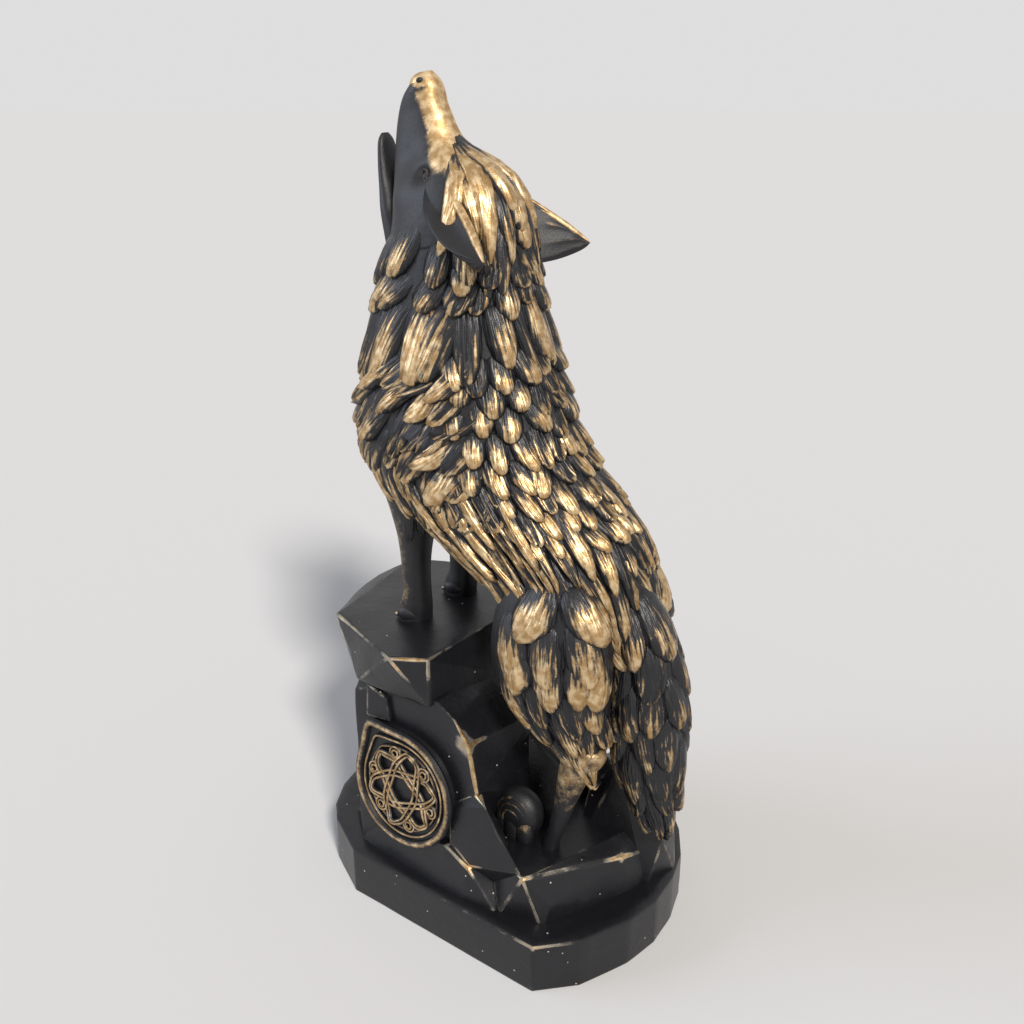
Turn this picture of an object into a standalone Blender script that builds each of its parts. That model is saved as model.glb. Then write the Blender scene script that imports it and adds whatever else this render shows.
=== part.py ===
"""A howling wolf standing on a stepped rock, with a round medallion: one cast or printed piece.

The wolf heads towards -X, its left side faces -Y, and the base plate rests on Z = 0.
Every form is given by its side view: pairs of points on the back and the front of the form, with a half width.
Wolf heights are counted from the top of the rock ledge, where the forepaws stand.
"""

import math
import random

import bmesh
import bpy
from mathutils import Matrix, Vector

for thing in list(bpy.data.objects):
    bpy.data.objects.remove(thing)

MM = 0.001

# Driving sizes, in millimetres
PLATE_LENGTH = 107.5
PLATE_WIDTH = 73.0
PLATE_THICKNESS = 14.5
PLATE_EDGE_CHAMFER = 1.2
LEDGE_TOP = 80.0
LEDGE_DEPTH = 14.0
SLAB_TOP = 28.0
HUMP_TOP = 49.0
ROCK_SIDE_Y = 29.5
ROCK_SIDE_LEAN = math.radians(5)
ROCK_SIDE_Z = 41.0
MEDALLION_X = -9.5
MEDALLION_Z = 40.0
MEDALLION_RADIUS = 17.0
MEDALLION_POINT_REACH = 5.5
MEDALLION_POINT_TURN = math.radians(128)
MEDALLION_THICKNESS = 2.4
RIM_RADIUS = 1.3
STRAND_RADIUS = 0.75
FORELEG_Y = 10.0
HIND_LEG_Y = 15.0
TUFT_SINK = 1.2

# What is pressed into its neighbour so that both are one body
SEAT = 2.0

# Side views of the wolf's forms: back x, back height, front x, front height, half width
HEAD_AND_BODY = [
    (-20.0, 139.8, -24.0, 138.4, 2.0),
    (-17.6, 137.2, -27.6, 133.8, 4.0),
    (-15.4, 131.5, -29.6, 128.6, 4.6),
    (-12.4, 125.8, -30.2, 122.0, 6.0),
    (-7.5, 121.8, -29.8, 115.8, 8.6),
    (-1.5, 118.5, -29.0, 109.5, 11.6),
    (3.2, 113.0, -29.5, 103.0, 13.6),
    (6.0, 104.5, -31.0, 97.0, 14.8),
    (7.5, 94.0, -33.0, 90.0, 16.0),
    (9.0, 86.0, -34.5, 83.0, 17.0),
    (13.0, 72.0, -38.0, 68.0, 19.6),
    (17.5, 61.0, -40.5, 56.0, 21.2),
    (23.0, 51.0, -39.5, 46.5, 21.6),
    (29.5, 42.5, -30.0, 38.0, 21.2),
    (35.8, 35.0, -17.0, 29.5, 20.0),
    (40.2, 28.0, -2.0, 21.5, 18.2),
    (43.0, 20.0, 12.0, 9.0, 16.0),
    (44.0, 8.0, 22.0, 0.0, 12.0),
]
LOWER_JAW = [
    (-24.0, 103.0, -32.0, 99.0, 8.0),
    (-28.0, 109.5, -33.6, 106.5, 7.0),
    (-31.0, 114.5, -34.8, 112.5, 5.2),
    (-33.0, 120.0, -35.8, 118.6, 3.8),
    (-34.4, 124.3, -36.2, 123.6, 2.2),
]
FORELEG = [
    (-12.0, 46.0, -31.0, 42.0, 8.5),
    (-13.5, 35.0, -27.5, 33.0, 7.0),
    (-16.2, 25.0, -25.8, 24.0, 4.8),
    (-17.6, 16.0, -25.6, 15.5, 4.0),
    (-17.6, 8.0, -25.4, 8.0, 3.8),
    (-17.4, 3.5, -28.5, 3.5, 4.6),
    (-17.8, -1.5, -30.5, -1.5, 5.0),
]
THIGH = [
    (30.0, 31.0, 20.0, 30.0, 2.0),
    (37.0, 24.0, 13.0, 22.0, 6.4),
    (41.5, 14.0, 9.5, 12.0, 8.8),
    (42.6, 4.0, 8.8, 1.0, 9.2),
    (42.4, -5.0, 11.5, -7.0, 8.2),
    (42.2, -11.0, 18.0, -13.0, 6.6),
    (41.8, -15.0, 25.0, -16.5, 5.4),
    (41.4, -18.5, 30.5, -19.0, 4.4),
]
TAIL = [
    (42.0, 26.0, 33.0, 16.0, 5.0),
    (48.8, 14.0, 36.0, 8.0, 7.2),
    (53.8, 0.0, 37.5, -4.0, 8.2),
    (55.8, -12.0, 38.0, -14.0, 8.4),
    (55.8, -23.0, 39.5, -24.0, 7.8),
    (55.0, -33.0, 43.5, -33.0, 6.0),
    (54.4, -40.0, 47.0, -40.0, 4.0),
    (53.6, -45.0, 50.0, -45.0, 2.0),
]


class Form:
    """A closed form through the rings of a side view, smooth from ring to ring."""

    def __init__(self, side_view, y=0.0, base=LEDGE_TOP, squareness=2.3):
        self.rings = [
            (Vector((bx, 0, bz + base)), Vector((fx, 0, fz + base)), half)
            for bx, bz, fx, fz, half in side_view
        ]
        self.y = y
        self.power = 2 / squareness
        self.last = len(self.rings) - 1

    def ring_at(self, t):
        """Back point, front point and half width at station t, on a Catmull-Rom curve."""
        i = min(int(t), self.last - 1)
        u = t - i
        near = [self.rings[max(0, min(self.last, i + k))] for k in (-1, 0, 1, 2)]
        weights = (
            -0.5 * u + u * u - 0.5 * u ** 3,
            1 - 2.5 * u * u + 1.5 * u ** 3,
            0.5 * u + 2 * u * u - 1.5 * u ** 3,
            -0.5 * u * u + 0.5 * u ** 3,
        )
        back = sum((w * r[0] for w, r in zip(weights, near)), Vector())
        front = sum((w * r[1] for w, r in zip(weights, near)), Vector())
        half = sum(w * r[2] for w, r in zip(weights, near))
        return back, front, half

    def at(self, t, angle):
        """A point of the skin: angle 0 is the back, 90 the wolf's left side, 180 the front."""
        back, front, half = self.ring_at(t)
        c = math.cos(math.radians(angle))
        s = math.sin(math.radians(angle))
        along = math.copysign(abs(c) ** self.power, c)
        across = math.copysign(abs(s) ** self.power, s)
        point = (back + front) / 2 + (back - front) / 2 * along
        point.y = self.y - half * across
        return point

    def frame_at(self, t, angle):
        """Point, flow down the form and outward normal."""
        point = self.at(t, angle)
        step = 0.05 if t < self.last - 0.05 else -0.05
        flow = (self.at(t + step, angle) - point) * (1 if step > 0 else -1)
        around = self.at(t, angle + 2) - self.at(t, angle - 2)
        normal = around.cross(flow).normalized()
        return point, flow.normalized(), normal

    def solid(self, around=14, per_station=1):
        """The form as a closed mesh."""
        bm = bmesh.new()
        loops = []
        for step in range(self.last * per_station + 1):
            t = step / per_station
            ring = [bm.verts.new(self.at(t, 360 * k / around) * MM) for k in range(around)]
            loops.append(ring)
        for upper, lower in zip(loops, loops[1:]):
            for k in range(around):
                n = (k + 1) % around
                bm.faces.new((upper[k], upper[n], lower[n], lower[k]))
        bm.faces.new(reversed(loops[0]))
        bm.faces.new(loops[-1])
        bmesh.ops.recalc_face_normals(bm, faces=bm.faces)
        return as_object("form", bm)


def as_object(name, bm):
    mesh = bpy.data.meshes.new(name)
    bmesh.ops.triangulate(bm, faces=bm.faces)
    bm.to_mesh(mesh)
    bm.free()
    item = bpy.data.objects.new(name, mesh)
    bpy.context.collection.objects.link(item)
    return item


def is_closed(mesh):
    bm = bmesh.new()
    bm.from_mesh(mesh)
    closed = all(len(edge.link_faces) == 2 for edge in bm.edges)
    bm.free()
    return closed


def combine(target, other, operation="UNION"):
    """Applies a Boolean with the other object and removes it; MANIFOLD steps in where EXACT leaves a gap."""
    step = target.modifiers.new("combine", "BOOLEAN")
    step.operation = operation
    step.object = other
    for solver in ("EXACT", "MANIFOLD"):
        step.solver = solver
        bpy.context.view_layer.update()
        graph = bpy.context.evaluated_depsgraph_get()
        result = bpy.data.meshes.new_from_object(target.evaluated_get(graph))
        if is_closed(result):
            break
    target.modifiers.clear()
    target.data = result
    bpy.data.objects.remove(other)


def keep_outer_skin(item):
    """Fills the small hollows that overlapping forms shut in, by keeping only the largest closed skin."""
    bm = bmesh.new()
    bm.from_mesh(item.data)
    unseen = set(bm.faces)
    skins = []
    while unseen:
        skin = {unseen.pop()}
        border = list(skin)
        while border:
            face = border.pop()
            for edge in face.edges:
                for other in edge.link_faces:
                    if other in unseen:
                        unseen.remove(other)
                        skin.add(other)
                        border.append(other)
        skins.append(skin)
    skins.sort(key=len)
    inner = [face for skin in skins[:-1] for face in skin]
    bmesh.ops.delete(bm, geom=inner, context="FACES")
    bm.to_mesh(item.data)
    bm.free()


def rock(corners):
    """A broken stone: the convex hull of its corners."""
    bm = bmesh.new()
    for corner in corners:
        bm.verts.new(Vector(corner) * MM)
    hull = bmesh.ops.convex_hull(bm, input=bm.verts)
    inside = [v for v in hull["geom_interior"] if isinstance(v, bmesh.types.BMVert)]
    bmesh.ops.delete(bm, geom=inside, context="VERTS")
    bmesh.ops.recalc_face_normals(bm, faces=bm.faces)
    return as_object("rock", bm)


def base_plate():
    """A plate with straight long sides, rounded at the front and broken off in facets at the rear."""
    side = PLATE_WIDTH / 2
    front = -PLATE_LENGTH / 2
    rear = PLATE_LENGTH / 2
    near_half = [
        (front, -1.0), (front + 4, -16.0), (front + 9, -24.5), (front + 14, side * -0.8), (front + 28, -side),
        (rear - 17, -side), (rear - 8.3, -27.5), (rear - 2, -13.7), (rear, -2.9),
    ]
    far_half = [
        (rear - 0.8, 7.9), (rear - 3.5, 17.7), (rear - 9, 27.0), (rear - 18, side),
        (front + 28, side), (front + 14, side * 0.8), (front + 6, 18.0), (front + 1, 8.0),
    ]
    bm = bmesh.new()
    outline = [bm.verts.new((x * MM, y * MM, 0)) for x, y in near_half + far_half]
    bottom = bm.faces.new(outline)
    raised = bmesh.ops.extrude_face_region(bm, geom=[bottom])
    top = [v for v in raised["geom"] if isinstance(v, bmesh.types.BMVert)]
    bmesh.ops.translate(bm, verts=top, vec=(0, 0, PLATE_THICKNESS * MM))
    rim = [e for e in bm.edges if all(v in top for v in e.verts)]
    bmesh.ops.bevel(bm, geom=rim, offset=PLATE_EDGE_CHAMFER * MM, segments=1, affect="EDGES")
    bmesh.ops.recalc_face_normals(bm, faces=bm.faces)
    return as_object("plate", bm)


def side_y(z, bulge=0.0):
    """The leaning left side of the rock at height z."""
    return -ROCK_SIDE_Y + (z - ROCK_SIDE_Z) * math.tan(ROCK_SIDE_LEAN) - bulge


def rocks():
    """The stepped rock: a ledge, the blocks under it, a skirt, a slab for the hind feet and a hump."""
    top = LEDGE_TOP
    under = LEDGE_TOP - LEDGE_DEPTH
    foot = PLATE_THICKNESS - SEAT
    ledge = [
        (-41.9, -21.5, top - 1), (-12.1, -32.8, top), (-3.0, -27.4, top), (-2.0, 2.0, top), (-6.0, 22.0, top),
        (-28.0, 29.0, top - 1), (-46.0, 23.0, top - 2), (-50.6, 16.8, top - 2), (-53.0, 8.1, top - 3),
        (-50.5, -3.8, top - 3), (-24.0, 0.0, top + 0.5), (-42.4, -17.8, under + 0.5), (-27.5, -29.0, under),
        (-2.1, -28.5, under + 0.5), (2.0, -4.0, under), (0.0, 18.0, under), (-26.0, 25.0, under),
        (-45.0, 15.0, under), (-48.0, 3.0, under + 1),
    ]
    block = [
        (-30.0, side_y(62), 62.0), (-12.0, -27.3, under + SEAT), (-0.4, -27.0, under + SEAT), (5.3, -27.3, 65.0),
        (10.1, -27.8, 59.3), (13.3, -28.6, 46.5), (5.0, -29.8, 41.0), (-27.0, side_y(34), 34.0),
        (-27.0, side_y(18), foot), (5.0, side_y(22), foot), (12.0, 0.0, 56.0), (14.0, 4.0, 30.0),
        (6.0, 24.0, 60.0), (10.0, 26.0, 36.0), (4.0, 31.0, foot), (-4.0, 22.0, under + SEAT),
        (-30.0, 27.0, under), (-36.0, 29.0, foot), (-42.0, 8.0, under + SEAT), (-43.0, 6.0, 40.0),
        (-45.0, 6.0, foot), (-35.0, -17.0, under), (-34.5, -18.5, 38.0), (-34.5, -20.5, foot),
    ]
    corner_block = [
        (-35.4, -18.0, under + 1), (-24.5, -28.5, under + 1), (-17.0, -28.8, 64.0), (-15.5, -29.4, 57.5),
        (-23.5, -30.2, 57.0), (-34.6, -20.5, 56.0), (-20.0, -15.0, under + 1), (-20.0, -15.0, 57.0),
    ]
    chunk = [
        (12.5, -28.4, 46.0), (16.8, -29.6, 44.5), (21.3, -30.6, 37.9), (28.0, -29.6, 28.6), (14.2, -31.6, 30.6),
        (6.0, -31.5, 29.8), (5.0, -30.2, 40.0), (10.0, 0.0, 46.0), (22.0, -6.0, 36.0), (24.0, -20.0, foot),
        (13.2, -32.4, 25.5), (4.0, -28.0, foot), (20.0, 0.0, foot),
    ]
    skirt = [
        (-42.0, -20.0, foot), (-27.0, -32.0, foot), (12.0, -34.0, foot), (22.5, -32.4, foot + 1),
        (13.4, -33.0, 25.3), (5.0, -32.4, 28.5), (-4.0, -31.0, 23.0), (-26.0, -30.0, 22.0), (18.0, -10.0, 30.0),
        (16.0, 10.0, 26.0), (-20.0, 10.0, 25.0), (20.0, 12.0, foot),
    ]
    slab = [
        (15.5, -26.0, SLAB_TOP + 1), (28.9, -30.1, SLAB_TOP), (35.0, -26.0, SLAB_TOP - 8.5), (43.8, -4.5, SLAB_TOP - 3),
        (40.0, 0.0, SLAB_TOP), (28.0, -14.6, SLAB_TOP + 0.3), (42.0, 14.0, SLAB_TOP - 1), (28.0, 27.0, SLAB_TOP),
        (12.0, 24.0, SLAB_TOP), (47.6, 10.0, SLAB_TOP - 7), (22.5, -31.6, foot + 2), (34.4, -28.6, foot),
        (47.0, -4.0, foot), (48.5, 15.0, foot), (36.0, 29.0, foot), (8.0, 29.0, foot), (6.0, -20.0, foot),
    ]
    hump = [
        (37.0, 3.0, HUMP_TOP - 2), (44.0, 5.0, HUMP_TOP - 5), (48.0, 14.0, HUMP_TOP - 11), (36.0, 18.0, HUMP_TOP - 2),
        (26.0, 14.0, HUMP_TOP - 9), (28.0, 3.0, HUMP_TOP - 12), (50.5, 5.0, SLAB_TOP), (51.5, 12.0, foot),
        (46.0, 22.0, foot), (26.0, 22.0, foot), (26.0, -2.0, foot), (48.5, 1.0, foot),
    ]
    back_block = [
        (9.0, -14.0, 56.0), (20.0, -3.0, 42.0), (24.0, 8.0, 36.0), (14.0, 20.0, 46.0), (4.0, 10.0, 60.0),
        (0.0, -20.0, foot), (22.0, -6.0, foot), (26.0, 20.0, foot), (0.0, 22.0, foot),
    ]
    return [rock(corners) for corners in (ledge, block, corner_block, chunk, skirt, slab, hump, back_block)]


def medallion():
    """A disc with a rolled rim drawn out to one point, an inner ring and an interlace of three long loops."""
    pieces = [medallion_point()]
    profile = [
        (0.0, 0.0), (MEDALLION_RADIUS - 2 * RIM_RADIUS, 0.0), (MEDALLION_RADIUS - 1.5 * RIM_RADIUS, RIM_RADIUS),
        (MEDALLION_RADIUS - 0.6 * RIM_RADIUS, RIM_RADIUS * 1.2), (MEDALLION_RADIUS, RIM_RADIUS * 0.6),
        (MEDALLION_RADIUS, -MEDALLION_THICKNESS - SEAT), (0.0, -MEDALLION_THICKNESS - SEAT),
    ]
    pieces.append(turned(profile, 22))
    inner = MEDALLION_RADIUS - 3.4
    ring = [
        (inner - 0.5, -0.6), (inner + 0.5, -0.6), (inner + 0.4, 0.5), (inner - 0.4, 0.5),
    ]
    pieces.append(turned(ring, 20))
    for loop in range(3):
        pieces.append(strand(loop_line(inner - 1.2, 4.2, math.radians(60 * loop + 15), 16), STRAND_RADIUS, 4))
    place = Matrix.Translation(Vector((MEDALLION_X, side_y(MEDALLION_Z, MEDALLION_THICKNESS), MEDALLION_Z)) * MM)
    lean = Matrix.Rotation(math.radians(90) - ROCK_SIDE_LEAN, 4, "X")
    for piece in pieces:
        piece.data.transform(place @ lean)
    return pieces


def medallion_point():
    """The corner to which the rim is drawn out."""
    corners = []
    for turn, radius in ((-0.34, MEDALLION_RADIUS - 0.4), (0.34, MEDALLION_RADIUS - 0.4),
                         (0.0, MEDALLION_RADIUS + MEDALLION_POINT_REACH), (0.0, MEDALLION_RADIUS - 2.5)):
        a = MEDALLION_POINT_TURN + turn
        for height in (RIM_RADIUS * 0.7, -MEDALLION_THICKNESS - SEAT):
            corners.append((radius * math.cos(a), radius * math.sin(a), height))
    return rock(corners)


def loop_line(half_length, half_width, turn, count):
    """Points round a long loop, turned about the middle of the disc."""
    place = Matrix.Rotation(turn, 3, "Z")
    angles = [2 * math.pi * k / count for k in range(count)]
    return [place @ Vector((half_length * math.cos(a), half_width * math.sin(a), 0.2)) for a in angles]


def turned(profile, steps):
    """A profile (radius, height) turned round Z."""
    bm = bmesh.new()
    on_axis = profile[0][0] == 0.0
    verts = [bm.verts.new(Vector((r, 0, z)) * MM) for r, z in profile]
    edges = [bm.edges.new(pair) for pair in zip(verts, verts[1:])]
    if not on_axis:
        edges.append(bm.edges.new((verts[-1], verts[0])))
    bmesh.ops.spin(
        bm, geom=verts + edges, axis=(0, 0, 1), cent=(0, 0, 0), angle=2 * math.pi, steps=steps, use_merge=True
    )
    bmesh.ops.remove_doubles(bm, verts=bm.verts, dist=1e-6)
    bmesh.ops.recalc_face_normals(bm, faces=bm.faces)
    return as_object("turned", bm)


def strand(points, radius, sides):
    """A closed tube through the points."""
    bm = bmesh.new()
    loops = []
    count = len(points)
    for k, point in enumerate(points):
        along = (points[(k + 1) % count] - points[k - 1]).normalized()
        out = along.cross(Vector((0, 0, 1))).normalized()
        up = out.cross(along)
        loop = []
        for n in range(sides):
            a = 2 * math.pi * (n + 0.5) / sides
            loop.append(bm.verts.new((point + (out * math.cos(a) + up * math.sin(a)) * radius) * MM))
        loops.append(loop)
    for k, loop in enumerate(loops):
        after = loops[(k + 1) % count]
        for n in range(sides):
            m = (n + 1) % sides
            bm.faces.new((loop[n], loop[m], after[m], after[n]))
    bmesh.ops.recalc_face_normals(bm, faces=bm.faces)
    return as_object("strand", bm)


class Tuft:
    """A leaf of fur laid on the skin of a form: rooted in it, ridged along its middle, its end lifted."""

    # Places along the length, across the width, and above the skin in parts of the height
    OUTLINE = [(-0.1, 0.0, -0.3), (0.55, -0.5, 0.35), (1.0, 0.0, 0.9), (0.55, 0.5, 0.35)]
    RIDGE = (0.55, 0.0, 1.1)
    FACES = [(0, 4, 1), (1, 4, 2), (2, 4, 3), (3, 4, 0), (0, 1, 5), (1, 2, 5), (2, 3, 5), (3, 0, 5)]

    def __init__(self, form, t, angle, size, swirl):
        self.form = form
        self.length, self.width, self.height = size
        self.t = t
        self.angle = angle
        self.swirl = math.radians(swirl)
        here = form.at(t, angle)
        step = 0.1 if t + 0.1 < form.last else -0.1
        self.per_station = (form.at(t + step, angle) - here).length / abs(step)
        self.per_degree = max((form.at(t, angle + 3) - here).length / 3, 0.08)
        spots = self.OUTLINE + [self.RIDGE, (0.6, 0.0, -TUFT_SINK / self.height)]
        self.corners = [self.place(*spot) for spot in spots]
        self.middle = sum(self.corners, Vector()) / len(self.corners)
        self.reach = max((c - self.middle).length for c in self.corners)

    def place(self, along, across, lift):
        a = along * self.length
        c = across * self.width
        forward = a * math.cos(self.swirl) - c * math.sin(self.swirl)
        sideways = a * math.sin(self.swirl) + c * math.cos(self.swirl)
        t = self.t + forward / self.per_station
        angle = self.angle + sideways / self.per_degree
        beyond = max(0.0, t - self.form.last) * self.per_station
        point, flow, normal = self.form.frame_at(min(t, self.form.last), angle)
        return point + flow * beyond + normal * (lift * self.height)

    def touches(self, other):
        return (self.middle - other.middle).length < self.reach + other.reach


class Fur:
    """Carved tufts, set out in patches."""

    def __init__(self):
        self.tufts = []

    def patch(self, form, stations, angles, rows, columns, size, swirl=0.0, sides=(1, -1)):
        """Rows of overlapping tufts, each row staggered by half a tuft, on both sides of a form."""
        chance = random.Random(len(form.rings) * 100 + rows * 10 + columns)
        for row in range(rows):
            t = stations[0] + (stations[1] - stations[0]) * row / max(1, rows - 1)
            stagger = 0.5 if row % 2 else 0.0
            for column in range(columns):
                share = (column + stagger + 0.25) / columns
                angle = angles[0] + (angles[1] - angles[0]) * share
                for hand in sides:
                    turn = swirl + chance.uniform(-7, 7)
                    grown = chance.uniform(0.9, 1.1)
                    spot = t + chance.uniform(-0.06, 0.06)
                    shape = (size[0] * grown, size[1] * grown, size[2])
                    self.tufts.append(Tuft(form, spot, hand * angle, shape, hand * turn))

    def layers(self):
        """The tufts as few meshes as can be, each of tufts that stay clear of one another."""
        groups = []
        for tuft in self.tufts:
            for group in groups:
                if not any(tuft.touches(other) for other in group):
                    group.append(tuft)
                    break
            else:
                groups.append([tuft])
        return [self.mesh_of(group) for group in groups]

    def mesh_of(self, group):
        bm = bmesh.new()
        for tuft in group:
            verts = [bm.verts.new(corner * MM) for corner in tuft.corners]
            for face in Tuft.FACES:
                bm.faces.new([verts[k] for k in face])
        bmesh.ops.recalc_face_normals(bm, faces=bm.faces)
        return as_object("fur", bm)


EAR_UPPER_RIM = [(-7.4, 9.0, 114.1), (-1.5, 12.2, 111.2), (4.9, 16.0, 106.7), (11.6, 21.2, 100.8)]
EAR_FRONT_RIM = [(-11.6, 11.0, 114.1), (-7.1, 16.5, 109.2), (0.6, 20.0, 103.3), (11.4, 21.5, 100.6)]
EAR_KEEL = [(3.6, 8.0, 95.0), (7.0, 14.5, 95.4), (10.6, 19.6, 97.6), (12.0, 21.4, 100.2)]


def ear(hand):
    """A laid-back ear: a thick leaf from the side of the head to its tip, hollow in front."""
    bm = bmesh.new()
    sections = []
    for upper, keel, front in zip(EAR_UPPER_RIM, EAR_KEEL, EAR_FRONT_RIM):
        upper, keel, front = (Vector((x, -hand * y, z + LEDGE_TOP)) for x, y, z in (upper, keel, front))
        middle = (upper + front) / 2
        pull = keel * 2 - middle
        outer = [upper * (1 - v) ** 2 + pull * 2 * v * (1 - v) + front * v ** 2 for v in (0.0, 0.25, 0.5, 0.75, 1.0)]
        hollow = middle.lerp(keel, 0.22)
        sections.append([bm.verts.new(point * MM) for point in outer + [hollow]])
    around = len(sections[0])
    for near, far in zip(sections, sections[1:]):
        for k in range(around):
            n = (k + 1) % around
            bm.faces.new((near[k], near[n], far[n], far[k]))
    for section in (sections[0], sections[-1]):
        hollow = section[-1]
        for k in range(around - 2):
            bm.faces.new((hollow, section[k], section[k + 1]))
    bmesh.ops.recalc_face_normals(bm, faces=bm.faces)
    return as_object("ear", bm)


def nose():
    """The pad over the muzzle's tip."""
    pad = [
        (-19.3, 139.6, -24.0, 139.6, 1.8), (-17.5, 138.4, -25.8, 138.2, 3.4), (-17.4, 136.6, -26.2, 136.2, 3.9),
        (-18.6, 134.8, -25.2, 134.6, 3.2),
    ]
    return Form(pad).solid(8)


def hind_foot(hand):
    """Metatarsus from the hock down to the slab, and the paw that lies forward on it."""
    floor = SLAB_TOP - LEDGE_TOP
    shank = [
        (41.2, -15.5, 30.5, -15.0, 4.4), (41.4, -19.5, 31.0, -20.5, 4.1), (38.6, -26.0, 30.0, -27.5, 3.6),
        (35.0, -35.0, 28.0, -36.5, 3.2), (32.2, -44.0, 25.6, -45.5, 3.0), (30.8, floor + 2.5, 22.5, floor + 2.5, 3.4),
        (30.2, floor - 1.5, 21.5, floor - 1.5, 3.4),
    ]
    paw = [
        (27.5, floor + 5.5, 27.5, floor - 1.5, 3.4), (22.5, floor + 11.0, 22.0, floor - 1.5, 4.8),
        (17.0, floor + 13.5, 16.0, floor - 1.5, 5.6), (13.0, floor + 11.0, 12.0, floor - 1.5, 5.2),
        (8.8, floor + 4.0, 8.2, floor - 1.0, 3.4),
    ]
    y = -hand * HIND_LEG_Y
    return [Form(shank, y).solid(8), Form(paw, y).solid(8)]


def painted():
    material = bpy.data.materials.new("gold_rubbed_black")
    material.use_nodes = True
    shader = material.node_tree.nodes["Principled BSDF"]
    shader.inputs["Base Color"].default_value = (0.045, 0.038, 0.032, 1)
    shader.inputs["Roughness"].default_value = 0.42
    shader.inputs["Metallic"].default_value = 0.3
    return material


def wolf_figurine():
    body = Form(HEAD_AND_BODY)
    thighs = {hand: Form(THIGH, -hand * (HIND_LEG_Y - 1.5)) for hand in (1, -1)}
    tail = Form(TAIL)

    figure = base_plate()
    figure.name = "wolf_figurine"
    parts = rocks() + medallion() + [body.solid(16), tail.solid(10), Form(LOWER_JAW).solid(8), nose()]
    for hand in (1, -1):
        parts.append(Form(FORELEG, -hand * FORELEG_Y).solid(8))
        parts.append(thighs[hand].solid(12))
        parts.append(ear(hand))
        parts += hind_foot(hand)
    for piece in parts:
        combine(figure, piece)

    fur = Fur()
    fur.patch(body, (4.7, 6.3), (5, 62), 2, 3, (11.0, 4.4, 1.2), swirl=4)
    fur.patch(body, (5.9, 7.4), (84, 174), 2, 3, (12.0, 10.5, 2.0), swirl=-8)
    fur.patch(body, (7.5, 11.6), (5, 178), 6, 6, (13.0, 10.5, 2.4), swirl=-12)
    fur.patch(body, (11.5, 16.4), (4, 52), 7, 3, (10.5, 7.0, 1.8), swirl=4)
    fur.patch(body, (11.7, 15.0), (56, 116), 4, 4, (19.0, 6.4, 1.9), swirl=8)
    for hand in (1, -1):
        fur.patch(thighs[hand], (0.7, 5.0), (18, 150), 5, 3, (12.5, 7.4, 1.8), sides=(hand,))
    fur.patch(tail, (0.7, 5.4), (0, 172), 5, 2, (14.0, 8.0, 1.8))
    for layer in fur.layers():
        combine(figure, layer)
    keep_outer_skin(figure)

    figure.data.materials.append(painted())
    figure.data.shade_smooth()
    figure.data.set_sharp_from_angle(angle=math.radians(30))
    return figure


wolf_figurine()
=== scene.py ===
"""The finished look of a howling wolf figurine: carved fur tufts, stepped rock, medallion and base plate."""

import math
import random

import bmesh
import bpy
from mathutils import Matrix, Vector, noise


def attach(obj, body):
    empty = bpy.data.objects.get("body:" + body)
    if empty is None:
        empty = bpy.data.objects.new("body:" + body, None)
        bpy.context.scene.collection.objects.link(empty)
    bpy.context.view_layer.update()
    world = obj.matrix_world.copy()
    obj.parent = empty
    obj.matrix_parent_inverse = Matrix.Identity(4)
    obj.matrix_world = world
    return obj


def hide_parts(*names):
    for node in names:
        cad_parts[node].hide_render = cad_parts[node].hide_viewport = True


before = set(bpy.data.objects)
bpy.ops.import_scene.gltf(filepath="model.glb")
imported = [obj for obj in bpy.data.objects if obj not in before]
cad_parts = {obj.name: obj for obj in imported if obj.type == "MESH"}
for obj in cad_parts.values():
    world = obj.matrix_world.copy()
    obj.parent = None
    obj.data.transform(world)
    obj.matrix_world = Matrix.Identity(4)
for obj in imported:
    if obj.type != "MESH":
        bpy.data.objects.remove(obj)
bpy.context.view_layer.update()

MM = 0.001
NODE = "wolf_figurine"
BODY = "root"
SIDES = {1: "left", -1: "right"}

# The photograph's camera: where it stands, where it looks and its lens
PICTURE_WIDTH = 1024
FOCAL_PIXELS = 1050
CAMERA_PLACE = (0.1537, -0.2043, 0.216)
CAMERA_TILT = 22.0
CAMERA_AZIMUTH = 36.3

# Sizes in millimetres, as in the part's own frame
PLATE_LENGTH = 107.5
PLATE_WIDTH = 73.0
PLATE_THICKNESS = 14.5
PLATE_EDGE = 1.0
PLATE_BORDER = 2.2
PLATE_RISE = 0.5
LEDGE_TOP = 80.0
LEDGE_DEPTH = 14.0
SLAB_TOP = 28.0
HUMP_TOP = 49.0
ROCK_SIDE_Y = 29.5
ROCK_SIDE_LEAN = math.radians(5)
ROCK_SIDE_Z = 41.0
ROCK_EDGE = 0.45
ROCK_GRID = 2.4
PLATE_GRID = 3.0
FLAT_ANGLE = 7.0
FACET_ANGLE = 12.0
PLATE_FACET_ANGLE = 30.0
MEDALLION_FACET_ANGLE = 40.0
WORN_ANGLE = 20.0
MEDALLION_X = -9.5
MEDALLION_Z = 40.0
MEDALLION_RADIUS = 17.0
MEDALLION_POINT = 128.0
MEDALLION_POINT_REACH = 5.5
MEDALLION_THICKNESS = 2.4
RIM_RADIUS = 1.15
STRAND_RADIUS = 0.5
FORELEG_Y = 10.0
FOREPAW_X = -23.2
HIND_LEG_Y = 15.0
THIGH_Y = 13.5
SEAT = 2.0
TUFT_SINK = 0.9
TUFT_OVERLAP = 0.86
FRONT_FADE = 45.0
SQUARENESS = 2.3
SKIN_RUB = 0.12

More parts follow.
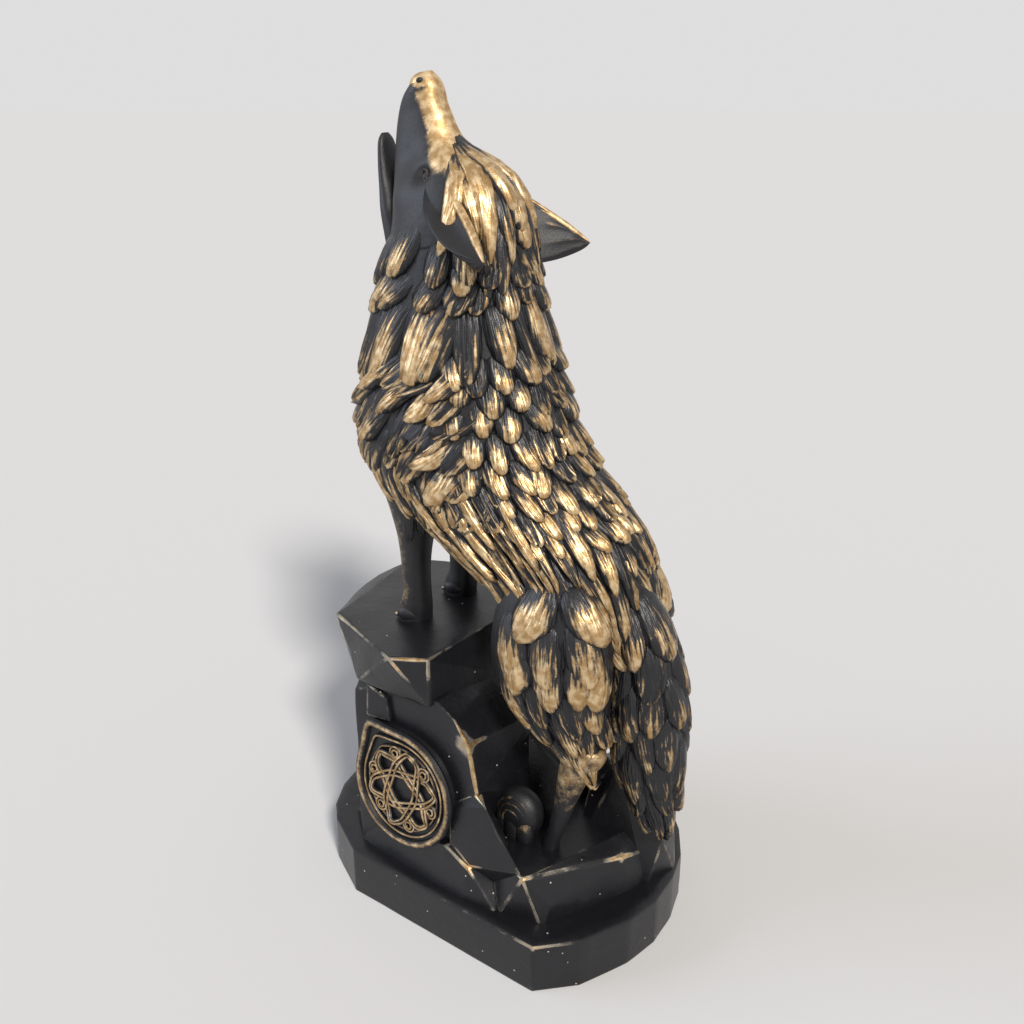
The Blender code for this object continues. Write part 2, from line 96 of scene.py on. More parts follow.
# Side views of the wolf's forms: back x, back height, front x, front height, half width
HEAD_AND_BODY = [
    (-20.0, 139.8, -24.0, 138.4, 2.0),
    (-17.6, 137.2, -27.6, 133.8, 4.0),
    (-15.4, 131.5, -29.6, 128.6, 4.6),
    (-12.4, 125.8, -30.2, 122.0, 6.0),
    (-7.5, 121.8, -29.8, 115.8, 8.6),
    (-1.5, 118.5, -29.0, 109.5, 11.6),
    (3.2, 113.0, -29.5, 103.0, 13.6),
    (6.0, 104.5, -31.0, 97.0, 14.8),
    (7.5, 94.0, -33.0, 90.0, 16.0),
    (9.0, 86.0, -34.5, 83.0, 17.0),
    (13.0, 72.0, -38.0, 68.0, 19.6),
    (17.5, 61.0, -40.5, 56.0, 21.2),
    (23.0, 51.0, -39.5, 46.5, 21.6),
    (29.5, 42.5, -30.0, 38.0, 21.2),
    (35.8, 35.0, -17.0, 29.5, 20.0),
    (40.2, 28.0, -2.0, 21.5, 18.2),
    (43.0, 20.0, 12.0, 9.0, 16.0),
    (44.0, 8.0, 22.0, 0.0, 12.0),
]
LOWER_JAW = [
    (-24.0, 103.0, -32.0, 99.0, 8.0),
    (-28.0, 109.5, -33.6, 106.5, 7.0),
    (-31.0, 114.5, -34.8, 112.5, 5.2),
    (-33.0, 120.0, -35.8, 118.6, 3.8),
    (-34.2, 124.2, -36.3, 123.4, 2.6),
    (-35.0, 125.8, -36.0, 125.5, 1.2),
]
FORELEG = [
    (-12.0, 46.0, -31.0, 42.0, 8.5),
    (-13.5, 35.0, -27.5, 33.0, 7.0),
    (-16.2, 25.0, -25.8, 24.0, 4.8),
    (-17.6, 16.0, -25.2, 15.5, 3.9),
    (-17.6, 8.0, -25.0, 8.0, 3.7),
    (-17.4, 3.5, -26.5, 3.5, 4.2),
    (-17.8, -1.0, -27.5, -1.0, 4.6),
]
THIGH = [
    (30.0, 31.0, 20.0, 30.0, 2.0),
    (37.0, 24.0, 13.0, 22.0, 6.4),
    (41.5, 14.0, 9.5, 12.0, 8.8),
    (42.6, 4.0, 8.8, 1.0, 9.2),
    (42.4, -5.0, 11.5, -7.0, 8.2),
    (42.2, -11.0, 18.0, -13.0, 6.6),
    (41.8, -15.0, 25.0, -16.5, 5.4),
    (41.4, -18.5, 30.5, -19.0, 4.4),
]
TAIL = [
    (42.0, 26.0, 33.0, 16.0, 5.0),
    (48.8, 14.0, 36.0, 8.0, 7.2),
    (53.8, 0.0, 37.5, -4.0, 8.2),
    (55.8, -12.0, 38.0, -14.0, 8.4),
    (55.8, -23.0, 39.5, -24.0, 7.8),
    (55.0, -33.0, 43.5, -33.0, 6.0),
    (54.4, -40.0, 47.0, -40.0, 4.0),
    (53.6, -45.0, 50.0, -45.0, 2.0),
]
FLOOR = SLAB_TOP - LEDGE_TOP
SHANK = [
    (42.6, -16.5, 30.5, -15.0, 4.4),
    (42.8, -20.0, 31.0, -20.5, 4.2),
    (38.6, -26.5, 30.0, -27.5, 3.6),
    (35.0, -35.0, 29.0, -36.5, 3.0),
    (32.0, -44.0, 27.2, -45.5, 2.5),
    (30.2, FLOOR + 2.5, 25.6, FLOOR + 2.5, 2.3),
    (29.6, FLOOR - 1.0, 25.0, FLOOR - 1.0, 2.3),
]
# Toes of the hind foot: how far along, outwards and up from the middle of the paw, with their gold
HIND_TOES = [(-4.6, 1.2, -1.0, 0.42), (-3.2, 2.7, -2.0, 0.58), (0.2, 3.4, -3.2, 0.4), (3.6, 3.0, -3.8, 0.55)]

# Places where the gold is rubbed on heavily: x, y, z, reach and strength
GOLD_SPOTS = [
    (-7.5, -30.1, 79.8, 6.0, 0.7),
    (-36.0, -23.8, 79.4, 9.0, 0.15),
    (8.5, -27.7, 60.0, 5.5, 1.0),
    (12.6, -28.2, 50.0, 7.0, 0.6),
    (43.8, -4.5, 25.0, 3.5, 0.95),
    (13.2, -33.0, 25.5, 3.5, 0.65),
    (35.0, -26.0, 19.5, 4.0, 0.25),
    (28.9, -30.1, 28.0, 3.0, 0.4),
    (37.0, -36.5, 14.5, 9.0, 0.45),
]

# Hollows (positive) and swellings (negative) of the head: station, angle, reach and depth in millimetres
FACE = [
    (4.45, 82, 2.8, 2.0),
    (4.05, 52, 4.0, -0.9),
    (3.6, 100, 5.0, 0.7),
    (4.9, 118, 6.0, -0.8),
    (1.7, 0, 3.0, 0.3),
    (0.9, 90, 2.0, -0.25),
]


class Form:
    """A closed form through the rings of a side view, smooth from ring to ring."""

    def __init__(self, side_view, y=0.0, hollows=()):
        self.rings = [
            (Vector((bx, 0, bz + LEDGE_TOP)), Vector((fx, 0, fz + LEDGE_TOP)), half)
            for bx, bz, fx, fz, half in side_view
        ]
        self.y = y
        self.last = len(self.rings) - 1
        self.hollows = [(self.plain(t, angle * hand), reach, depth)
                        for t, angle, reach, depth in hollows for hand in (1, -1)]

    def ring_at(self, t):
        """Back point, front point and half width at a station between the rings."""
        i = max(0, min(int(t), self.last - 1))
        u = t - i
        near = [self.rings[max(0, min(self.last, i + k))] for k in (-1, 0, 1, 2)]
        weights = (
            -0.5 * u + u * u - 0.5 * u ** 3,
            1 - 2.5 * u * u + 1.5 * u ** 3,
            0.5 * u + 2 * u * u - 1.5 * u ** 3,
            -0.5 * u * u + 0.5 * u ** 3,
        )
        back = sum((w * r[0] for w, r in zip(weights, near)), Vector())
        front = sum((w * r[1] for w, r in zip(weights, near)), Vector())
        half = sum(w * r[2] for w, r in zip(weights, near))
        return back, front, half

    def plain(self, t, angle):
        """A point of the skin without the hollows."""
        back, front, half = self.ring_at(t)
        c = math.cos(math.radians(angle))
        s = math.sin(math.radians(angle))
        power = 2 / SQUARENESS
        along = math.copysign(abs(c) ** power, c)
        across = math.copysign(abs(s) ** power, s)
        point = (back + front) / 2 + (back - front) / 2 * along
        point.y = self.y - half * across
        return point

    def at(self, t, angle):
        """A point of the skin: angle 0 is the back, 90 the wolf's left side, 180 the front."""
        point = self.plain(t, angle)
        if self.hollows:
            back, front, _ = self.ring_at(t)
            inward = ((back + front) / 2 - point).normalized()
            for centre, reach, depth in self.hollows:
                near = (point - centre).length / reach
                if near < 2:
                    point = point + inward * depth * math.exp(-2 * near * near)
        return point

    def frame_at(self, t, angle):
        """Point, flow down the form and outward normal."""
        point = self.plain(t, angle)
        step = 0.05 if t < self.last - 0.05 else -0.05
        flow = (self.plain(t + step, angle) - point) * (1 if step > 0 else -1)
        around = self.plain(t, angle + 2) - self.plain(t, angle - 2)
        normal = around.cross(flow).normalized()
        return point, flow.normalized(), normal

    def piece(self, name, around, per_station, stretch=None):
        """The form as a finished mesh, or the stretch of it between two stations."""
        first, last = stretch or (0, self.last)
        steps = round((last - first) * per_station)
        bm = bmesh.new()
        rub = bm.verts.layers.float.new("rub")
        loops = []
        for step in range(steps + 1):
            t = first + (last - first) * step / steps
            loops.append([bm.verts.new(self.at(t, 360 * k / around) * MM) for k in range(around)])
        close_skin(bm, loops)
        for vert in bm.verts:
            vert[rub] = SKIN_RUB
        return finished(name, bm)


# Making pieces

def deselect_all():
    for item in bpy.context.selected_objects:
        item.select_set(False)


def make_active(item):
    deselect_all()
    item.select_set(True)
    bpy.context.view_layer.objects.active = item


def placed(name, data):
    """A new object in the scene."""
    item = bpy.data.objects.new(name, data)
    bpy.context.collection.objects.link(item)
    return item


def close_skin(bm, loops):
    """Lays faces from loop to loop and a fan of faces over each end."""
    around = len(loops[0])
    for upper, lower in zip(loops, loops[1:]):
        for k in range(around):
            n = (k + 1) % around
            bm.faces.new((upper[k], upper[n], lower[n], lower[k]))
    for loop in (loops[0], loops[-1]):
        middle = bm.verts.new(sum((v.co for v in loop), Vector()) / around)
        for k in range(around):
            bm.faces.new((loop[k], loop[(k + 1) % around], middle))


def finished(name, bm):
    """A smooth-shaded object, its normals outwards."""
    bmesh.ops.recalc_face_normals(bm, faces=bm.faces)
    mesh = bpy.data.meshes.new(name)
    bm.to_mesh(mesh)
    bm.free()
    mesh.shade_smooth()
    return placed(name, mesh)


def new_mesh(name, points, faces):
    """A new object from points in millimetres, all selected in edit mode."""
    mesh = bpy.data.meshes.new(name)
    mesh.from_pydata([Vector(point) * MM for point in points], [], faces)
    item = placed(name, mesh)
    make_active(item)
    bpy.ops.object.mode_set(mode="EDIT")
    bpy.ops.mesh.select_all(action="SELECT")
    return item


def tube(name, points, radius, fineness, shares=None):
    """A round tube along the points: a closed ring, or a ridge with shares of its radius point by point."""
    curve = bpy.data.curves.new(name, "CURVE")
    curve.dimensions = "3D"
    curve.bevel_depth = radius * MM
    curve.bevel_resolution = fineness
    curve.use_fill_caps = shares is not None
    spline = curve.splines.new("POLY")
    spline.use_cyclic_u = shares is None
    spline.points.add(len(points) - 1)
    for target, point, share in zip(spline.points, points, shares or [1.0] * len(points)):
        target.co = (*(point * MM), 1)
        target.radius = share
    make_active(placed(name, curve))
    bpy.ops.object.convert(target="MESH")
    return bpy.context.object


def joined(name, pieces):
    make_active(pieces[0])
    for piece in pieces:
        piece.select_set(True)
    bpy.ops.object.join()
    pieces[0].name = name
    return pieces[0]


def set_rub(item, value_at):
    """Writes how far the gold is rubbed on, from 0 to about 1, at each point of a mesh."""
    mesh = item.data
    layer = mesh.attributes.get("rub") or mesh.attributes.new("rub", "FLOAT", "POINT")
    for vert in mesh.vertices:
        layer.data[vert.index].value = value_at(vert)


def dress(item, material):
    """Gives a piece its paint and ties it to the figurine."""
    item.data.materials.clear()
    item.data.materials.append(material)
    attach(item, BODY)
    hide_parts(NODE)


# Shader nodes

class Value:
    """A number socket that can be used in Python sums."""

    def __init__(self, paint, socket):
        self.paint = paint
        self.socket = socket

    def maths(self, operation, first, second=0.0, clamp=False):
        settings = {"operation": operation, "use_clamp": clamp}
        result = self.paint.node("ShaderNodeMath", settings, {0: first, 1: second})
        return Value(self.paint, result.outputs[0])

    def __add__(self, other):
        return self.maths("ADD", self, other)

    def __mul__(self, other):
        return self.maths("MULTIPLY", self, other)

    def __sub__(self, other):
        return self.maths("SUBTRACT", self, other)

    def __rsub__(self, other):
        return self.maths("SUBTRACT", other, self)

    __radd__ = __add__

    def sine(self):
        return self.maths("SINE", self)

    def clamped(self):
        return self.maths("ADD", self, 0.0, clamp=True)

    def between(self, low, high):
        node = self.paint.node(
            "ShaderNodeMapRange", {"interpolation_type": "SMOOTHSTEP"},
            {"Value": self, "From Min": low, "From Max": high},
        )
        return Value(self.paint, node.outputs["Result"])


class Paint:
    """A material and the methods that add nodes to it."""

    def __init__(self, name):
        self.material = bpy.data.materials.new(name)
        self.material.use_nodes = True
        self.tree = self.material.node_tree
        self.shader = self.tree.nodes["Principled BSDF"]

    def node(self, kind, settings=None, inputs=None):
        node = self.tree.nodes.new(kind)
        for key, value in (settings or {}).items():
            setattr(node, key, value)
        for key, value in (inputs or {}).items():
            self.feed(node.inputs[key], value)
        return node

    def feed(self, socket, value):
        if isinstance(value, Value):
            self.tree.links.new(value.socket, socket)
        elif isinstance(value, bpy.types.NodeSocket):
            self.tree.links.new(value, socket)
        else:
            socket.default_value = value

    def attribute(self, name):
        return Value(self, self.node("ShaderNodeAttribute", {"attribute_name": name}).outputs["Fac"])

    def place(self):
        return self.node("ShaderNodeTexCoord").outputs["Object"]

    def grain(self, size, detail):
        """Noise whose lumps are about size millimetres across."""
        lumps = {"Vector": self.place(), "Scale": 1 / (size * MM), "Detail": detail}
        return Value(self, self.node("ShaderNodeTexNoise", {}, lumps).outputs["Fac"])

    def streaks(self):
        """Hair strokes along each tuft, from its own width and length in millimetres."""
        own = self.node("ShaderNodeUVMap", {"uv_map": "UVMap"}).outputs["UV"]
        drawn_out = self.node("ShaderNodeVectorMath", {"operation": "MULTIPLY"}, {0: own, 1: STROKE_SCALE})
        strokes = {"Vector": drawn_out.outputs[0], "Scale": 1.0, "Detail": 2.0}
        return Value(self, self.node("ShaderNodeTexNoise", {}, strokes).outputs["Fac"]).between(0.3, 0.7)

    def height(self):
        split = self.node("ShaderNodeSeparateXYZ", {}, {0: self.place()})
        return Value(self, split.outputs["Z"])

    def mixed(self, factor, first, second):
        node = self.node("ShaderNodeMix", {"data_type": "RGBA"}, {"Factor": factor, 6: first, 7: second})
        return node.outputs[2]


BLACK = (0.0065, 0.0066, 0.0090, 1)
SOFT_BLACK = (0.022, 0.021, 0.023, 1)
GOLD = (0.46, 0.29, 0.13, 1)
PALE_GOLD = (0.77, 0.58, 0.34, 1)
PALE_WEAR = (0.42, 0.38, 0.31, 1)
SPECK = (0.62, 0.58, 0.5, 1)
LAYER_PITCH = 0.45
LAYER_TINT = 0.01
LAYER_RELIEF = 0.025
STROKE_SCALE = (1.5, 0.12, 1)
STROKE_RELIEF = 3.0
SPECK_PITCH = 4.5
GOLD_BLUR = 0.3


def rubbed_paint(name, threshold, blotch, relief, gloss, grit=0.25, strokes=0.0, specks=0.0, pale=False):
    """Near-black paint with gold dry-brushed on what stands proud, broken by hair strokes."""
    paint = Paint(name)
    rub = paint.attribute("rub")
    drift = paint.grain(1.4, 2.0)
    layer_lines = ((paint.height() + drift * (0.5 * MM)) * (2 * math.pi / (LAYER_PITCH * MM))).sine()
    patches = paint.grain(2.6, 4.0)
    fine = paint.grain(0.4, 2.0)
    level = rub + (patches - 0.5) * blotch + (fine - 0.5) * grit + layer_lines * LAYER_TINT
    relief_level = layer_lines * LAYER_RELIEF + fine * 0.6 + patches * 1.4
    if strokes:
        streaks = paint.streaks()
        level = level + (streaks - 0.5) * strokes
        relief_level = relief_level + streaks * STROKE_RELIEF
    gold_share = level.between(threshold, threshold + GOLD_BLUR)
    haze = rub * 0.7 + (patches - 0.5) * 0.5
    ground = paint.mixed(haze.clamped(), BLACK, SOFT_BLACK)
    metal = paint.mixed(paint.grain(2.0, 2.0).between(0.36, 0.68), GOLD, PALE_GOLD)
    if pale:
        metal = paint.mixed(level.between(threshold + 0.2, threshold + 0.5), PALE_WEAR, metal)
    colour = paint.mixed(gold_share, ground, metal)
    if specks:
        dots = paint.node("ShaderNodeTexVoronoi", {"feature": "F1"},
                          {"Vector": paint.place(), "Scale": 1 / (SPECK_PITCH * MM)})
        speck = 1 - Value(paint, dots.outputs["Distance"]).between(0.04, 0.065)
        colour = paint.mixed(speck * specks, colour, SPECK)
    shader = paint.shader
    paint.feed(shader.inputs["Base Color"], colour)
    paint.feed(shader.inputs["Metallic"], gold_share * 0.9)
    paint.feed(shader.inputs["Roughness"], gloss + fine * 0.16 + gold_share * 0.02)
    shader.inputs["Specular IOR Level"].default_value = 0.45
    bumps = {"Height": relief_level, "Strength": 0.8, "Distance": relief * MM}
    bump = paint.node("ShaderNodeBump", {}, bumps)
    paint.feed(shader.inputs["Normal"], bump.outputs["Normal"])
    return paint.material


# Rock, plate and medallion

# Tolerances in metres: off the plane of a face, and past its outline
OFF_PLANE = 1e-4
PAST_OUTLINE = 4e-5


def select_sharp_edges(item):
    """Selects, in edit mode, the edges sharp enough to be worn."""
    bpy.ops.mesh.select_mode(type="EDGE")
    bpy.ops.mesh.select_all(action="DESELECT")
    bm = bmesh.from_edit_mesh(item.data)
    for line in bm.edges:
        line.select_set(len(line.link_faces) == 2 and line.calc_face_angle() > math.radians(WORN_ANGLE))
    bmesh.update_edit_mesh(item.data)


def keep_narrow(item):
    """Keeps only the narrow faces along the worn edges selected and gives the corners of each."""
    bpy.ops.mesh.select_mode(type="FACE")
    bm = bmesh.from_edit_mesh(item.data)
    narrow = []
    for face in bm.faces:
        longest = max(line.calc_length() for line in face.edges)
        if face.select and face.calc_area() / longest < 1.4 * ROCK_EDGE * MM:
            narrow.append(face)
    for face in bm.faces:
        face.select_set(False)
    for face in narrow:
        face.select_set(True)
    bmesh.update_edit_mesh(item.data)
    return [[v.co.copy() for v in face.verts] for face in narrow]


def near_any(place, faces):
    """Whether a place lies on one of the narrow faces."""
    for corners in faces:
        middle = sum(corners, Vector()) / len(corners)
        reach = max((corner - middle).length for corner in corners)
        if (place - middle).length > reach + 1e-5:
            continue
        normal = (corners[1] - corners[0]).cross(corners[2] - corners[0])
        if normal.length < 1e-12:
            continue
        away = abs((place - corners[0]).dot(normal.normalized()))
        if away < OFF_PLANE and inside(place, corners, normal):
            return True
    return False


def inside(place, corners, normal):
    """Whether a place in the plane of a face lies within its outline or on it."""
    for a, b in zip(corners, corners[1:] + corners[:1]):
        if (b - a).cross(place - a).dot(normal) < -PAST_OUTLINE * (b - a).length * normal.length:
            return False
    return True


def cut_in_grid(item, pitch):
    """Cuts the whole mesh in small even pieces by planes across each axis."""
    corners = [vert.co.copy() for vert in bmesh.from_edit_mesh(item.data).verts]
    for axis in range(3):
        low = min(corner[axis] for corner in corners)
        high = max(corner[axis] for corner in corners)
        normal = [0, 0, 0]
        normal[axis] = 1
        for step in range(1, int((high - low) / (pitch * MM)) + 1):
            spot = [0, 0, 0]
            spot[axis] = low + step * pitch * MM
            bpy.ops.mesh.select_all(action="SELECT")
            bpy.ops.mesh.bisect(plane_co=spot, plane_no=normal)


def wear_edges(item, pitch, clamp):
    """Bevels the sharp edges, cuts the whole mesh finely and gives the narrow faces of the bevels."""
    select_sharp_edges(item)
    bpy.ops.mesh.bevel(offset=ROCK_EDGE * MM, segments=2, profile=0.6, affect="EDGES", clamp_overlap=clamp)
    worn = keep_narrow(item)
    bpy.ops.mesh.select_all(action="INVERT")
    bpy.ops.mesh.inset(thickness=ROCK_EDGE * MM, depth=0.0, use_individual=False)
    cut_in_grid(item, pitch)
    bpy.ops.object.mode_set(mode="OBJECT")
    return worn


def roughen(item, depth, edge_depth, facet_angle):
    """Moves each point in or out a little: hewn faces and chipped edges, shaded flat where they are flat."""
    rub = item.data.attributes["rub"].data
    normals = [vert.normal.copy() for vert in item.data.vertices]
    for vert, normal in zip(item.data.vertices, normals):
        swell = noise.noise(vert.co * 95) * depth + noise.noise(vert.co * 330) * depth * 0.45
        chip = max(0.0, noise.noise(vert.co * 210 + Vector((7, 3, 5)))) * edge_depth * rub[vert.index].value
        vert.co += normal * (swell - chip) * MM
    item.data.shade_smooth()
    bpy.ops.object.shade_smooth_by_angle(angle=math.radians(facet_angle))


def stone(name, corners):
    """A broken stone: the hull of its corners, its edges worn round and rubbed with gold."""
    item = new_mesh(name, corners, [])
    bpy.ops.mesh.convex_hull(join_triangles=False)
    bpy.ops.mesh.select_all(action="SELECT")
    bpy.ops.mesh.dissolve_limited(angle_limit=math.radians(FLAT_ANGLE))
    worn = wear_edges(item, ROCK_GRID, True)
    set_rub(item, lambda v: edge_wear(v.co) if near_any(v.co, worn) else spilt(v.co))
    roughen(item, 0.28, 0.5, FACET_ANGLE)
    return item


def gold_at(place):
    """How heavily the gold is rubbed on round a place of the rock."""
    total = 0.0
    for x, y, z, reach, strength in GOLD_SPOTS:
        far = (place - Vector((x, y, z)) * MM).length / (reach * MM)
        total += strength * math.exp(-far * far)
    return total


def edge_wear(place):
    """Wear that comes and goes along an edge."""
    wave = noise.noise(place * 70) * 0.34 + noise.noise(place * 420) * 0.2
    return min(1.2, max(0.0, 0.38 + wave + gold_at(place)))


def spilt(place):
    """Gold rubbed over the edge on to the faces, only close to the heaviest spots."""
    return min(0.75, max(0.0, (gold_at(place) - 0.58) * 3 + noise.noise(place * 500) * 0.25))


def side_y(z, bulge=0.0):
    """The y of the leaning left side of the rock at a height."""
    return -ROCK_SIDE_Y + (z - ROCK_SIDE_Z) * math.tan(ROCK_SIDE_LEAN) - bulge


UNDER = LEDGE_TOP - LEDGE_DEPTH
FOOT = PLATE_THICKNESS - SEAT

# Corners of the stones
STONES = {
    "rock_ledge": [
        (-41.9, -21.5, LEDGE_TOP - 1), (-12.1, -32.8, LEDGE_TOP), (-3.0, -27.4, LEDGE_TOP),
        (-2.0, 2.0, LEDGE_TOP), (-6.0, 22.0, LEDGE_TOP), (-28.0, 29.0, LEDGE_TOP - 1),
        (-46.0, 23.0, LEDGE_TOP - 2), (-50.6, 16.8, LEDGE_TOP - 2), (-53.0, 8.1, LEDGE_TOP - 3),
        (-50.5, -3.8, LEDGE_TOP - 3), (-24.0, 0.0, LEDGE_TOP + 0.5), (-42.4, -17.8, UNDER + 0.5),
        (-27.5, -29.0, UNDER), (-2.1, -28.5, UNDER + 0.5), (2.0, -4.0, UNDER), (0.0, 18.0, UNDER),
        (-26.0, 25.0, UNDER), (-45.0, 15.0, UNDER), (-48.0, 3.0, UNDER + 1),
    ],
    "rock_block": [
        (-30.0, side_y(62), 62.0), (-12.0, -27.3, UNDER + SEAT), (-0.4, -27.0, UNDER + SEAT),
        (5.3, -27.3, 65.0), (10.1, -27.8, 59.3), (13.3, -28.6, 46.5), (5.0, -29.8, 41.0),
        (-27.0, side_y(34), 34.0), (-27.0, side_y(18), FOOT), (5.0, side_y(22), FOOT), (12.0, 0.0, 56.0),
        (14.0, 4.0, 30.0), (6.0, 24.0, 60.0), (10.0, 26.0, 36.0), (4.0, 31.0, FOOT),
        (-4.0, 22.0, UNDER + SEAT), (-30.0, 27.0, UNDER), (-36.0, 29.0, FOOT), (-42.0, 8.0, UNDER + SEAT),
        (-43.0, 6.0, 40.0), (-45.0, 6.0, FOOT), (-35.0, -17.0, UNDER), (-34.5, -18.5, 38.0),
        (-34.5, -20.5, FOOT),
    ],
    "rock_corner": [
        (-35.4, -18.0, 66.0), (-24.5, -28.5, 66.0), (-17.0, -28.8, 64.0), (-15.5, -29.4, 57.5),
        (-23.5, -30.2, 57.0), (-34.6, -20.5, 56.0), (-20.0, -15.0, 66.0), (-20.0, -15.0, 57.0),
    ],
    "rock_chunk": [
        (12.5, -28.4, 46.0), (16.8, -29.6, 44.5), (21.3, -30.6, 37.9), (28.0, -29.6, 28.6),
        (14.2, -31.6, 30.6), (6.0, -31.5, 29.8), (5.0, -30.2, 40.0), (8.0, -22.0, 46.0),
        (13.0, -24.5, 42.5), (18.0, -26.5, 37.5), (24.5, -26.5, 28.5), (24.0, -24.0, FOOT),
        (13.2, -32.4, 25.5), (4.0, -28.0, FOOT), (12.0, -14.0, FOOT),
    ],
    "rock_skirt": [
        (-42.0, -20.0, FOOT), (-27.0, -32.0, FOOT), (12.0, -34.0, FOOT), (22.5, -32.4, FOOT + 1),
        (13.4, -33.0, 25.3), (5.0, -32.4, 28.5), (-4.0, -31.0, 23.0), (-26.0, -30.0, 22.0),
        (18.0, -10.0, 30.0), (16.0, 10.0, 26.0), (-20.0, 10.0, 25.0), (20.0, 12.0, FOOT),
    ],
    "rock_slab": [
        (15.5, -26.0, SLAB_TOP + 1), (28.9, -30.1, SLAB_TOP), (35.0, -26.0, SLAB_TOP - 8.5),
        (43.8, -4.5, SLAB_TOP - 3), (40.0, 0.0, SLAB_TOP), (28.0, -14.6, SLAB_TOP + 0.3),
        (42.0, 14.0, SLAB_TOP - 1), (28.0, 27.0, SLAB_TOP), (12.0, 24.0, SLAB_TOP),
        (47.6, 10.0, SLAB_TOP - 7), (22.5, -31.6, FOOT + 2), (34.4, -28.6, FOOT), (47.0, -4.0, FOOT),
        (48.5, 15.0, FOOT), (36.0, 29.0, FOOT), (8.0, 29.0, FOOT), (6.0, -20.0, FOOT),
    ],
    "rock_hump": [
        (37.0, 3.0, HUMP_TOP - 2), (44.0, 5.0, HUMP_TOP - 5), (48.0, 14.0, HUMP_TOP - 11),
        (36.0, 18.0, HUMP_TOP - 2), (26.0, 14.0, HUMP_TOP - 9), (28.0, 3.0, HUMP_TOP - 12),
        (50.5, 5.0, SLAB_TOP), (51.5, 12.0, FOOT), (46.0, 22.0, FOOT), (26.0, 22.0, FOOT),
        (26.0, -2.0, FOOT), (48.5, 1.0, FOOT),
    ],
    "rock_back": [
        (9.0, -6.0, 56.0), (20.0, 0.0, 42.0), (24.0, 8.0, 36.0), (14.0, 20.0, 46.0), (4.0, 10.0, 60.0),
        (0.0, -16.0, FOOT), (22.0, -4.0, FOOT), (26.0, 20.0, FOOT), (0.0, 22.0, FOOT),
    ],
}


def rocks():
    """The stones under the wolf."""
    return [stone(name, corners) for name, corners in STONES.items()]


def base_plate():
    """The plate with its soft outline, its upper edge worn."""
    side = PLATE_WIDTH / 2
    front = -PLATE_LENGTH / 2
    rear = PLATE_LENGTH / 2
    outline = [
        (front, -1.0), (front + 4, -16.0), (front + 9, -24.5), (front + 14, side * -0.8), (front + 28, -side),
        (rear - 17, -side), (rear - 8.3, -27.5), (rear - 2, -13.7), (rear, -2.9),
        (rear - 0.8, 7.9), (rear - 3.5, 17.7), (rear - 9, 27.0), (rear - 18, side),
        (front + 28, side), (front + 14, side * 0.8), (front + 6, 18.0), (front + 1, 8.0),
    ]
    item = new_mesh("base_plate", [(x, y, 0) for x, y in outline], [list(range(len(outline)))])
    bpy.ops.mesh.extrude_region_move(TRANSFORM_OT_translate={"value": (0, 0, PLATE_THICKNESS * MM)})
    bpy.ops.mesh.inset(thickness=PLATE_BORDER * MM, depth=0.0)
    bpy.ops.transform.translate(value=(0, 0, PLATE_RISE * MM))
    bpy.ops.mesh.select_all(action="SELECT")
    bpy.ops.mesh.normals_make_consistent(inside=False)
    worn = wear_edges(item, PLATE_GRID, False)
    rim = (PLATE_THICKNESS - PLATE_EDGE) * MM

    def wear(vert):
        """The plate's upper edge, where its side turns into its top."""
        if vert.co.z < rim or not near_any(vert.co, worn):
            return 0.0
        return edge_wear(vert.co) * (0.9 if vert.co.y < -0.02 else 0.5)

    set_rub(item, wear)
    roughen(item, 0.16, 0.3, PLATE_FACET_ANGLE)
    return item


def circle(radius, degrees, lift=0.0):
    """A point at a turn round a circle."""
    a = math.radians(degrees)
    return Vector((radius * math.cos(a), radius * math.sin(a), lift))


def medallion_outline(inset, lift=0.0):
    """The medallion's round outline with one drawn-out point, inset from its edge."""
    points = []
    for turn in (3.75 * k for k in range(96)):
        away = (turn - MEDALLION_POINT + 180) % 360 - 180
        point = MEDALLION_POINT_REACH * math.exp(-abs(away / 15) ** 1.4) * max(0.0, 1 - inset / 6)
        points.append(circle(MEDALLION_RADIUS - inset + point, turn, lift))
    return points


# Rings of the medallion: inset from its edge, radius, lift and gold
RINGS = [(RIM_RADIUS, RIM_RADIUS, 0.1, 0.62), (3.3, 0.42, 0.2, 0.7), (5.0, 0.36, 0.0, 0.6)]
LOOP_HALF_LENGTH = MEDALLION_RADIUS - 5.4
LOOP_HALF_WIDTH = 4.6
LANE = 0.75
CURL_RADIUS = 1.9


